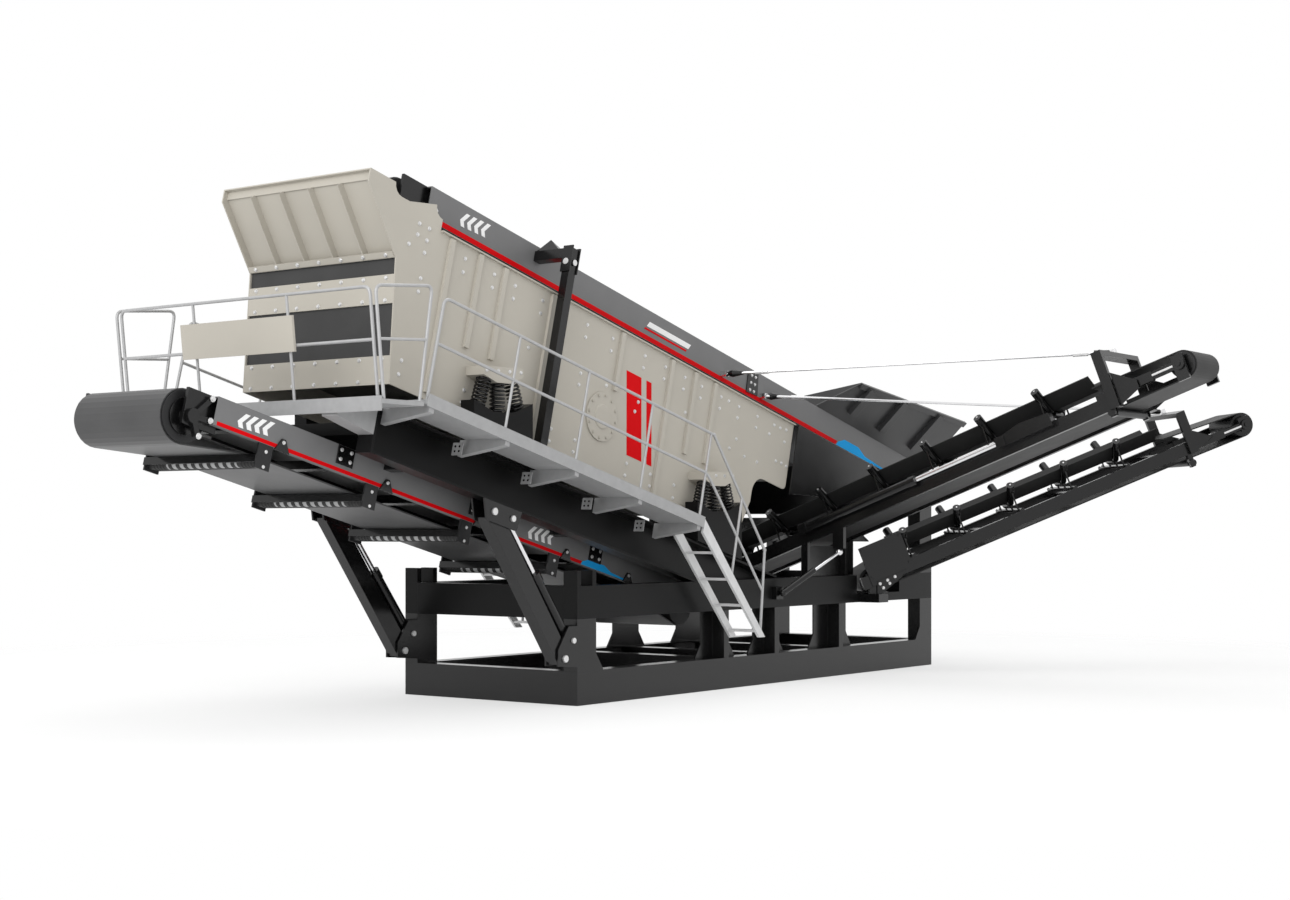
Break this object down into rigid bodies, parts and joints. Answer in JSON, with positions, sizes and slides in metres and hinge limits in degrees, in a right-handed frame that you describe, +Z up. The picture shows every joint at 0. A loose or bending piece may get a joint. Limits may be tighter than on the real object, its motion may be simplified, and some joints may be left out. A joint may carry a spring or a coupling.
{
  "type": "vibrating screen plant",
  "caption": "Skid-mounted inclined vibrating screen on coil springs, with a feed conveyor and hopper, a fines conveyor, outlet conveyors, walkways and ladders.",
  "frame": {"origin": "middle of the skid's underside, on the ground", "axes": "+X along the skid towards the feed hopper, +Y to the far side, +Z up"},
  "size_m": [14.0085, 7.3456, 4.9657],
  "materials": {
    "black_paint": "semi-gloss black paint",
    "beige_paint": "semi-gloss beige paint",
    "grey_paint": "semi-gloss grey paint with a red lower edge",
    "galvanised": "hot-dip galvanised",
    "rubber": "matt belt rubber",
    "bright_steel": "bright plated steel",
    "drum_steel": "dark machined drums and rollers",
    "screen_steel": "wire and perforated deck"
  },
  "bodies": {
    "plant": {"skid_long_beams": "black_paint", "skid_cross_beams": "black_paint", "skid_posts": "black_paint", "skid_upper_beams": "black_paint", "skid_upper_cross_beams": "black_paint", "tall_posts": "black_paint", "chassis_beams": "black_paint", "chassis_cross_members": "black_paint", "spring_pedestals": "black_paint", "leg_struts": "black_paint", "leg_brackets": "black_paint", "cylinder_barrels": "black_paint", "cylinder_rods": "bright_steel", "coil_springs": "black_paint", "discharge_chute": "black_paint", "fines_hopper": "black_paint", "feed_panels": "grey_paint", "feed_cross_members": "black_paint", "feed_belt": "rubber", "feed_drums": "drum_steel", "feed_hopper": "black_paint", "feed_portal": "black_paint", "feed_transoms": "black_paint", "fines_panels": "grey_paint", "fines_cross_members": "black_paint", "fines_belt": "rubber", "fines_drums": "drum_steel", "return_rollers": "drum_steel", "side_frame": "black_paint", "side_belt": "rubber", "tail_frame": "black_paint", "tail_belt": "rubber", "outlet_drums": "drum_steel", "outlet_idlers": "black_paint", "outlet_bridles": "black_paint", "bridle_bars": "black_paint", "outlet_supports": "black_paint", "stay_rods": "bright_steel", "walkway_decks": "galvanised", "toe_plates": "galvanised", "walkway_brackets": "galvanised", "end_platform": "galvanised", "side_railings": "galvanised", "end_railings": "galvanised", "end_board": "beige_paint", "ladder_stringers": "galvanised", "ladder_treads": "galvanised", "ladder_handrails": "galvanised"},
    "screen_box": {"screen_side_plates": "beige_paint", "screen_hood": "beige_paint", "screen_rear_wall": "beige_paint", "screen_curtains": "rubber", "top_deck": "screen_steel", "lower_deck": "screen_steel", "deck_cross_tubes": "screen_steel", "spring_brackets": "beige_paint", "exciter_covers": "beige_paint", "exciter_tube": "beige_paint"}
  },
  "joints": [
    {"name": "screen_throw", "type": "slide", "parent": "plant", "child": "screen_box", "axis": [0, 0, 1], "range_m": [-0.008, 0.008], "stiffness_N_per_m": 2000000, "springref_m": 0.03281, "deforming": ["coil_springs"]}
  ]
}
